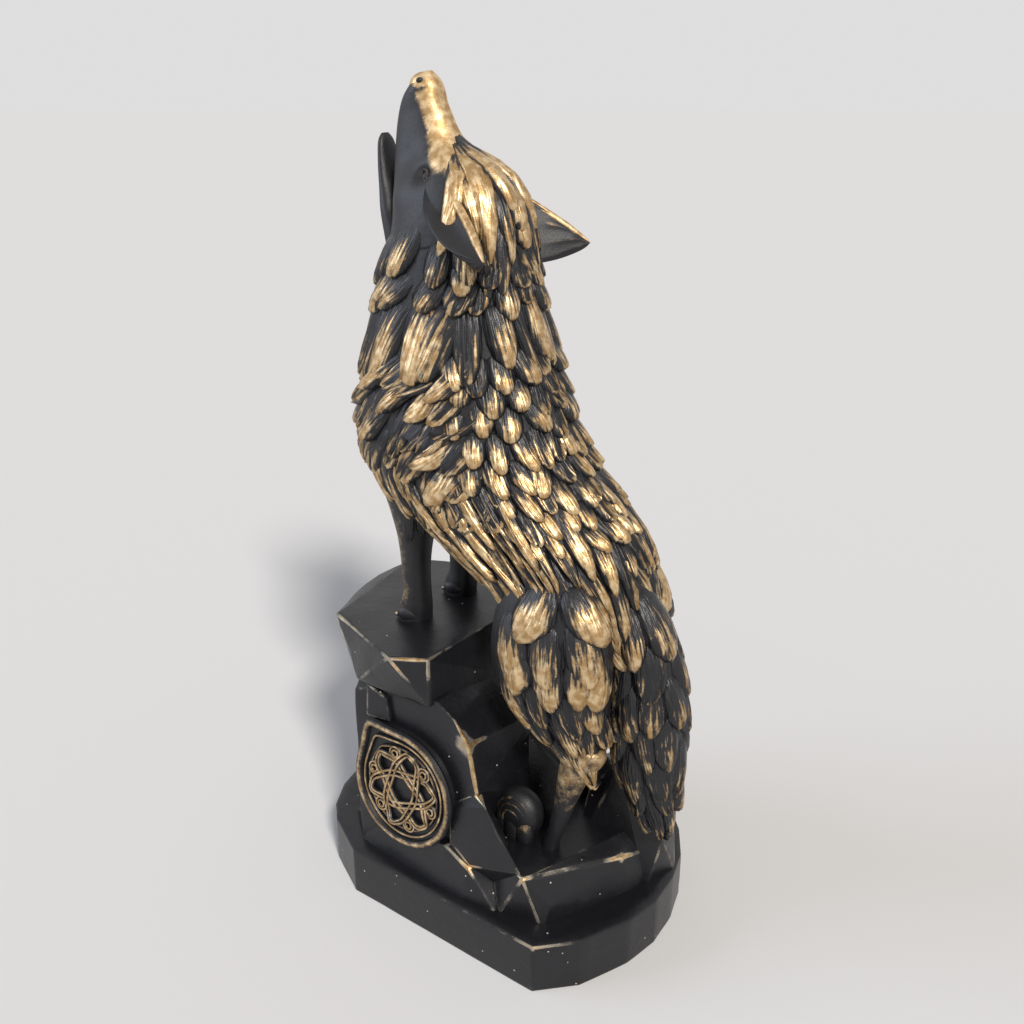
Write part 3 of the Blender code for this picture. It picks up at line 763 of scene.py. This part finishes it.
def medallion():
    """A disc with a rolled rim, two inner rings and an interlace of long loops of fine strands."""
    outline = medallion_outline(RIM_RADIUS)
    disc = new_mesh("disc", outline, [list(range(len(outline)))])
    bpy.ops.mesh.inset(thickness=4.0 * MM, depth=-0.5 * MM)
    bpy.ops.object.mode_set(mode="OBJECT")
    wall = disc.modifiers.new("wall", "SOLIDIFY")
    wall.thickness = (MEDALLION_THICKNESS + SEAT) * MM
    wall.offset = -1
    bpy.ops.object.modifier_apply(modifier=wall.name)
    set_rub(disc, lambda v: 0.1)
    pieces = [disc]
    for inset, radius, lift, gold in RINGS:
        pieces.append(strand(medallion_outline(inset, lift), radius, gold))
    for loop in range(3):
        turn = math.radians(60 * loop + 15)
        for lane in (-LANE, LANE):
            line = loop_line(LOOP_HALF_LENGTH + lane * 0.5, LOOP_HALF_WIDTH + lane, turn, loop)
            pieces.append(strand(line, STRAND_RADIUS, 0.72))
    for curl in range(6):
        middle = circle(LOOP_HALF_LENGTH - 1.2, 60 * curl + 45)
        for lane in (0.0, 0.9):
            line = [middle + circle(CURL_RADIUS - lane, 20 * k, 0.2 + lane * 0.2) for k in range(18)]
            pieces.append(strand(line, STRAND_RADIUS * 0.8, 0.7))
    whole = joined("medallion", pieces)
    place = Vector((MEDALLION_X, side_y(MEDALLION_Z, MEDALLION_THICKNESS), MEDALLION_Z)) * MM
    upright = Matrix.Rotation(math.radians(90) - ROCK_SIDE_LEAN, 4, "X")
    whole.data.transform(Matrix.Translation(place) @ upright)
    whole.data.shade_smooth()
    make_active(whole)
    bpy.ops.object.shade_smooth_by_angle(angle=math.radians(MEDALLION_FACET_ANGLE))
    return whole


def loop_line(half_length, half_width, turn, order):
    """Points round a long loop, which rises over the next loop and dips under the last one."""
    place = Matrix.Rotation(turn, 3, "Z")
    count = 72
    points = []
    for k in range(count):
        a = 2 * math.pi * k / count
        weave = 0.38 * math.sin(6 * a + order * 2.1)
        points.append(place @ Vector((half_length * math.cos(a), half_width * math.sin(a), 0.35 + weave)))
    return points


def strand(points, radius, gold):
    """A closed strand along the points, rubbed with gold on its upper side."""
    item = tube("strand", points, radius, 2 if radius > 0.8 else 1)
    set_rub(item, lambda v: gold * max(0.0, v.normal.z))
    return item


# Fur

class Tuft:
    """A plump leaf of fur laid on the skin of a form, rooted in it, its end lifted, some with a groove."""

    # Along the length: place, share of the width, share of the height
    SCALE = [(-0.15, 0.6, -0.3), (0.12, 0.86, 0.18), (0.38, 1.0, 0.5), (0.62, 0.98, 0.8), (0.84, 0.72, 1.0),
             (0.96, 0.4, 1.02), (1.0, 0.16, 0.7)]
    BLADE = [(-0.1, 0.45, -0.2), (0.12, 0.8, 0.3), (0.35, 1.0, 0.65), (0.58, 0.96, 0.9), (0.78, 0.74, 1.02),
             (0.93, 0.42, 1.0), (1.0, 0.12, 0.7)]
    ROUND = [(-0.12, 0.7, -0.3), (0.14, 0.94, 0.25), (0.38, 1.06, 0.6), (0.62, 1.0, 0.86), (0.82, 0.76, 1.0),
             (0.95, 0.44, 0.98), (1.0, 0.18, 0.6)]
    # Across the width: place, share of the height, share of the rub
    ACROSS = [(-1.0, -0.3, 0.0), (-0.92, 0.5, 0.3), (-0.55, 0.93, 0.95), (0.0, 1.06, 1.1),
              (0.55, 0.9, 0.85), (0.92, 0.45, 0.2), (1.0, -0.3, 0.0)]

    def __init__(self, form, t, angle, size, swirl, groove, gold, bend, leaf):
        self.form = form
        self.length, self.width, self.height = size
        self.t = t
        self.angle = angle
        self.swirl = math.radians(swirl)
        self.groove = groove
        self.gold = gold
        self.bend = bend
        self.leaf = leaf
        here = form.plain(t, angle)
        step = 0.1 if t + 0.1 < form.last else -0.1
        self.per_station = max((form.plain(t + step, angle) - here).length / abs(step), 3.0)
        self.per_degree = max((form.plain(t, angle + 3) - here).length / 3, 0.1)

    def place(self, along, across, lift):
        """The point at a share of the length and of half the width, lifted off the skin."""
        a = along * self.length
        c = across * self.width / 2 + self.bend * along * along
        forward = a * math.cos(self.swirl) - c * math.sin(self.swirl)
        sideways = a * math.sin(self.swirl) + c * math.cos(self.swirl)
        t = self.t + forward / self.per_station
        angle = self.angle + sideways / self.per_degree
        beyond = max(0.0, t - self.form.last) * self.per_station
        point, flow, normal = self.form.frame_at(max(0.0, min(t, self.form.last)), angle)
        return point + flow * beyond + normal * lift

    def add_to(self, bm, rub, uv, offset):
        """Adds the tuft to a mesh, with its gold and its own measures for the hair strokes."""
        loops = []
        spots = {}
        for along, wide, high in self.leaf:
            loop = []
            for across, rise, rubbed in self.ACROSS:
                groove = self.groove * max(0.0, 1 - abs(across) / 0.4) * (1 if 0.2 < along < 0.95 else 0.4)
                lift = self.height * (high * rise) * (1 - groove) - (1 - rise) * TUFT_SINK * 0.5
                vert = bm.verts.new(self.place(along, across * wide, lift) * MM)
                worn = min(1.0, 0.2 + 1.2 * max(0.0, along))
                vert[rub] = self.gold * rubbed * worn * (1 - 0.9 * groove)
                spots[vert] = (across * wide * self.width / 2 + offset, along * self.length)
                loop.append(vert)
            vert = bm.verts.new(self.place(along, 0.0, -TUFT_SINK) * MM)
            spots[vert] = (self.width / 2 + offset, along * self.length)
            loop.append(vert)
            loops.append(loop)
        around = len(loops[0])
        faces = []
        for upper, lower in zip(loops, loops[1:]):
            for k in range(around):
                n = (k + 1) % around
                faces.append(bm.faces.new((upper[k], upper[n], lower[n], lower[k])))
        faces += [bm.faces.new(loops[0]), bm.faces.new(reversed(loops[-1]))]
        for face in faces:
            for corner in face.loops:
                corner[uv].uv = spots[corner.vert]


class Coat:
    """The tufts of one region, gathered into one piece."""

    def __init__(self, name, seed):
        self.name = name
        self.chance = random.Random(seed)
        self.bm = bmesh.new()
        self.rub = self.bm.verts.layers.float.new("rub")
        self.uv = self.bm.loops.layers.uv.new("UVMap")

    def patch(self, form, stations, angles, pitch, size, swirl=0.0, gold=1.0, grooved=0.3, sides=(1, -1),
              leaf=Tuft.SCALE, stray=9.0):
        """Rows of overlapping tufts, side by side at their own width, each row staggered by half a tuft."""
        t = stations[0]
        odd = False
        start, end = angles
        middle = (start + end) / 2
        while t <= stations[1]:
            line = [form.plain(t, start + (end - start) * k / 12) for k in range(13)]
            arc = sum((a - b).length for a, b in zip(line, line[1:]))
            columns = max(1, round(arc / (size[1] * TUFT_OVERLAP)))
            room = arc / columns or size[1]
            for column in range(columns):
                angle = start + (end - start) * (column + (0.75 if odd else 0.25)) / columns
                for hand in sides:
                    self.lay(form, t, hand, angle, room, size, swirl, gold, grooved, leaf, stray)
            step = (form.plain(min(form.last, t + 0.1), middle) - form.plain(t, middle)).length
            t += pitch / max(3.0, step * 10)
            odd = not odd

    def lay(self, form, t, hand, angle, room, size, swirl, gold, grooved, leaf, stray):
        """One tuft, varied a little. Its swirl to the front fades out at the middle of the front."""
        chance = self.chance
        grown = chance.uniform(0.86, 1.14)
        width = min(size[1], room * 1.2) * chance.uniform(0.9, 1.08)
        shape = (size[0] * grown, width, size[2] * chance.uniform(0.8, 1.25))
        turn = swirl * min(1.0, (180 - angle) / FRONT_FADE) + chance.uniform(-stray, stray)
        groove = 0.7 if chance.random() < grooved else 0.0
        amount = gold * chance.uniform(0.82, 1.15)
        bend = chance.uniform(-0.1, 0.1) * size[0]
        spot = t + chance.uniform(-0.1, 0.1)
        tuft = Tuft(form, spot, hand * angle, shape, hand * turn, groove, amount, bend, leaf)
        tuft.add_to(self.bm, self.rub, self.uv, chance.uniform(0, 900))

    def piece(self):
        return finished(self.name, self.bm)


def fur(body, thighs, tail, forelegs):
    """All the tufts, region by region."""
    blade = Tuft.BLADE
    plump = Tuft.ROUND
    head = Coat("fur_head", 11)
    # Less gold on the crown behind the ears: partly a lighter rub there, partly painted shade where the ears
    # shade the crown.
    head.patch(body, (5.6, 7.0), (6, 50), 7.5, (15.0, 4.8, 1.4), swirl=7, gold=0.6, leaf=blade, stray=6)
    for hand in (1, -1):
        for lock, angle in enumerate((5, 20, 35)):
            head.lay(body, 3.2 + 0.25 * lock, hand, angle, 4.0, (23.0, 3.9, 1.9), 6 + 3 * lock, 1.5, 0.0,
                     blade, 3)
            head.lay(body, 4.5 + 0.1 * lock, hand, angle + 8, 4.0, (17.0, 3.6, 1.5), 8, 1.1, 0.0, blade, 3)
    head.patch(body, (6.9, 7.3), (48, 88), 7.5, (11.0, 7.4, 2.0), gold=0.6, leaf=plump)
    head.patch(body, (6.2, 7.4), (92, 180), 7.5, (12.0, 9.0, 2.2), swirl=14, gold=0.75, leaf=plump)
    neck = Coat("fur_neck", 12)
    neck.patch(body, (7.6, 9.3), (46, 180), 6.4, (13.0, 8.0, 2.8), swirl=28, gold=0.78, stray=14, leaf=plump)
    neck.patch(body, (9.5, 10.7), (44, 180), 6.6, (16.0, 7.2, 2.8), swirl=40, gold=0.84, grooved=0.6,
               stray=12)
    neck.patch(body, (7.3, 10.8), (3, 72), 6.6, (10.5, 7.2, 2.1), gold=0.72, stray=12, leaf=plump)
    chest = Coat("fur_chest", 13)
    chest.patch(body, (10.9, 12.4), (48, 180), 7.2, (18.0, 7.0, 2.6), swirl=38, gold=0.84, grooved=0.8,
                stray=10)
    chest.patch(body, (12.8, 14.1), (116, 180), 9.0, (13.0, 7.0, 1.5), swirl=12, gold=0.5)
    chest.patch(body, (9.4, 13.4), (180, 180), 8.0, (14.0, 8.4, 2.3), gold=0.8, sides=(1,), stray=12)
    back = Coat("fur_back", 14)
    back.patch(body, (11.0, 13.3), (3, 68), 6.2, (11.0, 6.6, 2.0), swirl=4, gold=0.9)
    back.patch(body, (13.7, 15.9), (3, 28), 11.0, (20.0, 6.8, 2.3), swirl=5, gold=0.9, leaf=blade, stray=7)
    back.patch(body, (15.9, 17.0), (4, 76), 7.0, (12.0, 7.0, 1.8), gold=0.85)
    back.patch(body, (5.2, 16.6), (0, 0), 6.5, (11.5, 7.4, 2.2), gold=0.85, sides=(1,), stray=12)
    flank = Coat("fur_flank", 15)
    flank.patch(body, (11.8, 15.3), (54, 116), 14.0, (27.0, 6.0, 2.4), swirl=9, gold=0.95, grooved=0.35,
                leaf=blade, stray=5)
    flank.patch(body, (12.7, 15.5), (26, 64), 15.0, (27.0, 6.8, 2.6), swirl=7, gold=0.95, grooved=0.5,
                leaf=blade, stray=6)
    legs = Coat("fur_thighs", 16)
    for hand in (1, -1):
        legs.patch(thighs[hand], (0.6, 5.7), (8, 126), 9.0, (17.0, 9.0, 2.2), gold=0.9, sides=(hand,),
                   leaf=blade)
        legs.patch(forelegs[hand], (0.4, 1.5), (10, 80), 8.0, (9.0, 4.6, 1.1), gold=0.5, sides=(1,))
    brush = Coat("fur_tail", 17)
    brush.patch(tail, (0.4, 5.9), (0, 180), 9.0, (17.0, 8.6, 2.0), gold=0.6, leaf=blade)
    return [coat.piece() for coat in (head, neck, chest, back, flank, legs, brush)]


# Head details, ears and paws

def along_curve(points, u):
    """A smooth curve through two to four points, u from 0 to 1."""
    last = len(points) - 1
    i = min(int(u * last), last - 1)
    w = u * last - i
    p0, p1, p2, p3 = (points[max(0, min(last, i + k))] for k in (-1, 0, 1, 2))
    return (p1 * 2 + (p2 - p0) * w + (p0 * 2 - p1 * 5 + p2 * 4 - p3) * w * w
            + (p1 * 3 - p0 - p2 * 3 + p3) * w ** 3) / 2


EAR_UPPER_RIM = [(-7.4, 9.0, 114.1), (-1.5, 12.2, 111.2), (4.9, 16.0, 106.7), (11.6, 21.2, 100.8)]
EAR_FRONT_RIM = [(-13.8, 9.2, 117.4), (-9.8, 15.6, 109.6), (-0.6, 20.2, 103.6), (11.3, 21.6, 100.8)]
EAR_KEEL = [(3.6, 8.0, 96.2), (6.6, 14.3, 97.0), (10.2, 19.4, 98.8), (12.0, 21.4, 100.4)]
EAR_STRIPES = 8


def ear(hand):
    """A laid-back ear: thick, hollow in front, its back carved in long hairs from root to tip."""
    curves = [[Vector((x, -hand * y, z + LEDGE_TOP)) for x, y, z in rim]
              for rim in (EAR_UPPER_RIM, EAR_KEEL, EAR_FRONT_RIM)]
    bm = bmesh.new()
    rub = bm.verts.layers.float.new("rub")
    loops = []
    rows, outer, inner = 26, 56, 14
    for row in range(rows + 1):
        u = row / rows
        upper, keel, front = (along_curve(curve, u) for curve in curves)
        middle = (upper + front) / 2
        pull = keel * 2 - middle
        loop = []
        for k in range(outer + 1):
            v = k / outer
            point = upper * (1 - v) ** 2 + pull * 2 * v * (1 - v) + front * v ** 2
            stripe = (0.5 + 0.5 * math.cos(2 * math.pi * EAR_STRIPES * v + 2 * u)) ** 2
            out = (point - middle).normalized() * 0.35 * stripe * math.sin(math.pi * min(1, u * 1.1)) ** 0.5
            vert = bm.verts.new((point + out) * MM)
            vert[rub] = 0.1 + 0.6 * stripe * (0.6 + 0.4 * u) * (1 - v * v)
            loop.append(vert)
        for k in range(inner + 1):
            v = 1 - k / inner
            point = upper * (1 - v) ** 2 + pull * 2 * v * (1 - v) + front * v ** 2
            across = middle + (point - middle) * 0.84
            depth = (keel - middle).normalized()
            across -= depth * (across - middle).dot(depth) * 0.74
            vert = bm.verts.new(across * MM)
            edge = max(0.0, 1 - 5 * min(v, 1 - v))
            vert[rub] = 0.8 * edge if v < 0.5 else 0.4 * edge
            loop.append(vert)
        loops.append(loop)
    close_skin(bm, loops)
    leaf = finished("ear_leaf", bm)
    line = [along_curve(curves[0], k / 24).lerp(along_curve(curves[2], k / 24), 0.1) for k in range(1, 25)]
    rim = lid(line, 1.0, 0.9, [min(1.0, 0.5 + k / 8) * min(1.0, (24.6 - k) / 7) for k in range(24)])
    return joined("ear_" + SIDES[hand], [leaf, rim])


def blob(name, place, size, rub, segments, turn=0.0):
    """A rounded lump, sized along x, y and z and turned about Z."""
    deselect_all()
    bpy.ops.mesh.primitive_uv_sphere_add(segments=segments, ring_count=segments // 2, radius=MM)
    item = bpy.context.object
    item.name = name
    turned = Matrix.Rotation(math.radians(turn), 4, "Z")
    item.data.transform(Matrix.Translation(place * MM) @ turned @ Matrix.Diagonal((*size, 1)))
    item.data.shade_smooth()
    top = max(v.co.z for v in item.data.vertices)
    bottom = min(v.co.z for v in item.data.vertices)
    set_rub(item, lambda v: rub * (0.4 + 0.6 * (v.co.z - bottom) / (top - bottom)))
    return item


NOSE = Vector((-22.0, 0.0, 216.5))
NOSTRIL = Vector((-20.9, 3.0, 217.6))


def nose():
    """The pad over the muzzle's tip, with a nostril at each side; the dark line under it is left ungilded by
    gild_bridge.
    """
    pieces = [blob("nose", NOSE, (3.9, 3.5, 3.1), 1.25, 32)]
    for hand in (1, -1):
        spot = Vector((NOSTRIL.x, -hand * NOSTRIL.y, NOSTRIL.z))
        pieces.append(blob("nostril", spot, (0.95, 0.7, 0.75), 0.0, 12, 30 * hand))
    return joined("nose", pieces)


def eye(hand, body):
    """An eyeball sunk in its hollow, with a thin lid along its upper and rear edge."""
    point, flow, normal = body.frame_at(4.4, 82 * hand)
    across = normal.cross(flow).normalized() * hand
    pieces = [blob("eye", point - normal * 2.2, (1.6, 1.6, 1.6), 0.0, 16)]
    for side, radius in ((1, 0.4), (-1, 0.2)):
        line = []
        for k in range(9):
            a = math.pi * (0.08 + 0.84 * k / 8)
            line.append(point - normal * 0.9 + flow * 1.8 * math.cos(a) + across * side * 0.8 * math.sin(a))
        pieces.append(lid(line, radius))
    return joined("eye_" + SIDES[hand], pieces)


def lid(points, radius, rub=0.5, thickness=None):
    """A short round ridge along the points, closed at both ends, its thickness given point by point."""
    item = tube("lid", points, radius, 2, thickness or [1.0] * len(points))
    item.data.shade_smooth()
    set_rub(item, lambda v: rub)
    return item


TOES = (-3.4, -1.15, 1.15, 3.4)


def paw(x, y, z):
    """Four toes with claws, spread on the rock in front of a foot."""
    pieces = []
    for across in TOES:
        spot = Vector((x + 0.35 * abs(across), y + across, z + 1.9))
        pieces.append(blob("toe", spot, (3.4, 1.45, 2.3), 0.5, 16, -across * 4))
        claw = spot + Vector((-3.4, across * 0.1, -0.9))
        pieces.append(blob("claw", claw, (1.3, 0.5, 0.6), 0.8, 8))
    return pieces


def hind_paw(hand, y):
    """A plump paw with its toes curled round the front and the outer side."""
    middle = Vector((17.5, y, SLAB_TOP + 6.6))
    pieces = [blob("paw", middle, (7.0, 5.0, 7.4), 0.3, 28)]
    for along, outwards, up, gold in HIND_TOES:
        spot = middle + Vector((along, -hand * outwards, up))
        pieces.append(blob("toe", spot, (2.6, 2.0, 4.4), gold, 16, 20 * hand))
    for ridge in range(3):
        lean = math.radians(38 + 15 * ridge)
        line = []
        for k in range(11):
            a = math.radians(200 - 17 * k)
            reach = Vector((6.9 * math.cos(a), 0, 7.3 * math.sin(a))) * math.cos(lean)
            line.append(middle + reach + Vector((0, -hand * 4.9 * math.sin(lean), 0)))
        pieces.append(lid(line, 0.42, 0.55, [math.sin(math.pi * (k + 1) / 12) for k in range(11)]))
    return pieces


def gild_bridge(item):
    """Rubs gold on the bridge of the nose and the brow, up to the smooth dark side of the face."""

    def gold(vert):
        share = (vert.co.z - 0.196) / 0.022
        limit = (-26.2 + 10.5 * (1 - max(0.0, min(1.0, share)))) * MM
        bridge = min(1.0, max(0.0, (vert.co.x - limit) / (4.5 * MM)))
        fade = min(1.0, max(0.0, (vert.co.z - 0.193) / 0.008))
        crease = 1.0
        if vert.co.z < NOSE.z * MM:
            crease = min(1.0, 0.62 + abs((vert.co / MM - NOSE).length - 4.3) / 1.2)
        return 0.1 + 0.75 * bridge * fade * crease

    set_rub(item, gold)


def wolf():
    """The smooth pieces of the wolf, and its fur."""
    body = Form(HEAD_AND_BODY, hollows=FACE)
    tail = Form(TAIL)
    thighs = {hand: Form(THIGH, -hand * THIGH_Y) for hand in (1, -1)}
    forelegs = {hand: Form(FORELEG, -hand * FORELEG_Y) for hand in (1, -1)}
    head = body.piece("head", 96, 12, (0, 7))
    gild_bridge(head)
    smooth_pieces = [
        head,
        body.piece("trunk", 48, 4, (6.5, 17)),
        Form(LOWER_JAW).piece("lower_jaw", 32, 8),
        tail.piece("tail_core", 24, 4),
        nose(),
    ]
    for hand, side in SIDES.items():
        smooth_pieces.append(thighs[hand].piece("thigh_" + side, 32, 4))
        leg = [forelegs[hand].piece("foreleg_" + side, 24, 4)]
        set_rub(leg[0], lambda v: 0.16 + 0.42 * max(0.0, -0.6 * v.normal.x - 0.8 * hand * v.normal.y))
        leg += paw(FOREPAW_X, -hand * FORELEG_Y, LEDGE_TOP - 0.4)
        smooth_pieces.append(joined("foreleg_" + side, leg))
        y = -hand * HIND_LEG_Y
        shank = Form(SHANK, y).piece("hind_foot_" + side, 20, 4)
        set_rub(shank, lambda v: 0.34 + 0.3 * max(0.0, min(1.0, (v.co.z / MM - 34) / 20)))
        smooth_pieces.append(joined("hind_foot_" + side, [shank] + hind_paw(hand, y)))
        smooth_pieces.append(ear(hand))
        smooth_pieces.append(eye(hand, body))
    return smooth_pieces, fur(body, thighs, tail, forelegs)


# The room

FLOOR_COLOUR = (0.74, 0.74, 0.75, 1)
ROOM_COLOUR = (0.738, 0.731, 0.731, 1)
ROOM_LIGHT = 0.42


def floor():
    """A wide, plain, pale floor."""
    deselect_all()
    bpy.ops.mesh.primitive_circle_add(vertices=128, radius=12, fill_type="NGON")
    ground = bpy.context.object
    ground.name = "floor"
    paint = Paint("pale_floor")
    for socket, value in (("Base Color", FLOOR_COLOUR), ("Roughness", 0.7), ("Specular IOR Level", 0.0)):
        paint.shader.inputs[socket].default_value = value
    ground.data.materials.append(paint.material)


def sun(name, towards, strength, spread, colour):
    """A sun lamp that shines towards a direction."""
    light = bpy.data.lights.new(name, "SUN")
    light.energy = strength
    light.angle = math.radians(spread)
    light.color = colour
    placed(name, light).rotation_euler = Vector(towards).to_track_quat("-Z", "Y").to_euler()


def light_and_camera():
    """A pale room with two soft suns, and the camera fitted to the photograph."""
    world = bpy.data.worlds.new("room")
    bpy.context.scene.world = world
    world.use_nodes = True
    tree = world.node_tree
    backdrop = tree.nodes["Background"]
    backdrop.inputs["Color"].default_value = ROOM_COLOUR
    path = tree.nodes.new("ShaderNodeLightPath")
    seen = tree.nodes.new("ShaderNodeMath")
    seen.operation = "MAXIMUM"
    tree.links.new(path.outputs["Is Camera Ray"], seen.inputs[0])
    tree.links.new(path.outputs["Is Glossy Ray"], seen.inputs[1])
    strength = tree.nodes.new("ShaderNodeMapRange")
    tree.links.new(seen.outputs[0], strength.inputs["Value"])
    strength.inputs["To Min"].default_value = ROOM_LIGHT
    strength.inputs["To Max"].default_value = 1.0
    tree.links.new(strength.outputs["Result"], backdrop.inputs["Strength"])
    sun("key", (-0.75, 0.50, -0.80), 2.8, 10, (1.0, 0.95, 0.88))
    sun("left", (0.85, 0.65, -0.40), 1.2, 35, (0.74, 0.83, 1.0))
    camera = placed("camera", bpy.data.cameras.new("camera"))
    camera.data.sensor_width = 36
    camera.data.lens = 36 * FOCAL_PIXELS / PICTURE_WIDTH
    camera.data.clip_start = 0.01
    camera.location = CAMERA_PLACE
    camera.rotation_euler = (math.radians(90 - CAMERA_TILT), 0, math.radians(CAMERA_AZIMUTH))
    bpy.context.scene.camera = camera
    bpy.context.scene.view_settings.view_transform = "Standard"


def build():
    """The room, then every piece in its paint."""
    light_and_camera()
    floor()
    fur_paint = rubbed_paint("rubbed_fur", 0.48, blotch=0.42, relief=0.08, gloss=0.28, grit=0.2, strokes=0.4)
    skin_paint = rubbed_paint("rubbed_skin", 0.5, blotch=0.5, relief=0.1, gloss=0.4)
    rock_paint = rubbed_paint("rubbed_rock", 0.44, blotch=0.35, relief=0.08, gloss=0.26, specks=0.8,
                              pale=True)
    metal_paint = rubbed_paint("rubbed_medallion", 0.42, blotch=0.35, relief=0.05, gloss=0.36)
    skins, coats = wolf()
    for item in skins:
        dress(item, skin_paint)
    for item in coats:
        dress(item, fur_paint)
    for item in rocks() + [base_plate()]:
        dress(item, rock_paint)
    dress(medallion(), metal_paint)


build()
